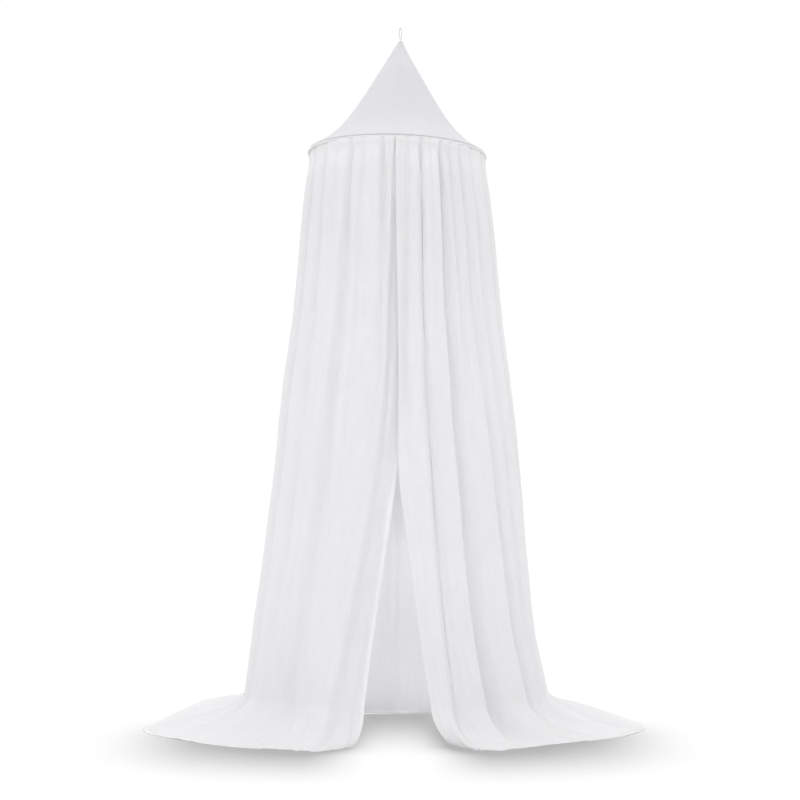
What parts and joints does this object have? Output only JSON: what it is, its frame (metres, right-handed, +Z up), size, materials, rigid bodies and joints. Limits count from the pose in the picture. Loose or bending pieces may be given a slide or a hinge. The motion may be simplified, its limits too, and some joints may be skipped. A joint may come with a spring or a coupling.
{
  "type": "crib canopy with hoop",
  "caption": "Hanging crib canopy: a gathered cotton drape under a cloth cone, spread by a hoop in a casing, open at the front and spread out on the floor, with a hanging loop on top",
  "frame": {"origin": "the top of the hanging loop, where a ceiling hook holds the canopy; the floor is 1.995 m below it", "axes": "+Z up, -Y the side of the slit, +X the right of someone who faces the slit"},
  "size_m": [1.4131, 0.7389, 1.995],
  "materials": {
    "tape": "woven cotton tape",
    "roof_cloth": "plain cotton",
    "casing_cloth": "gathered cotton",
    "rod": "satin",
    "drape_cloth": "crinkled cotton"
  },
  "bodies": {
    "root": {"hanging_loop": "tape", "roof": "roof_cloth", "hoop_casing": "casing_cloth", "hoop": "rod", "drape": "drape_cloth"}
  },
  "joints": []
}
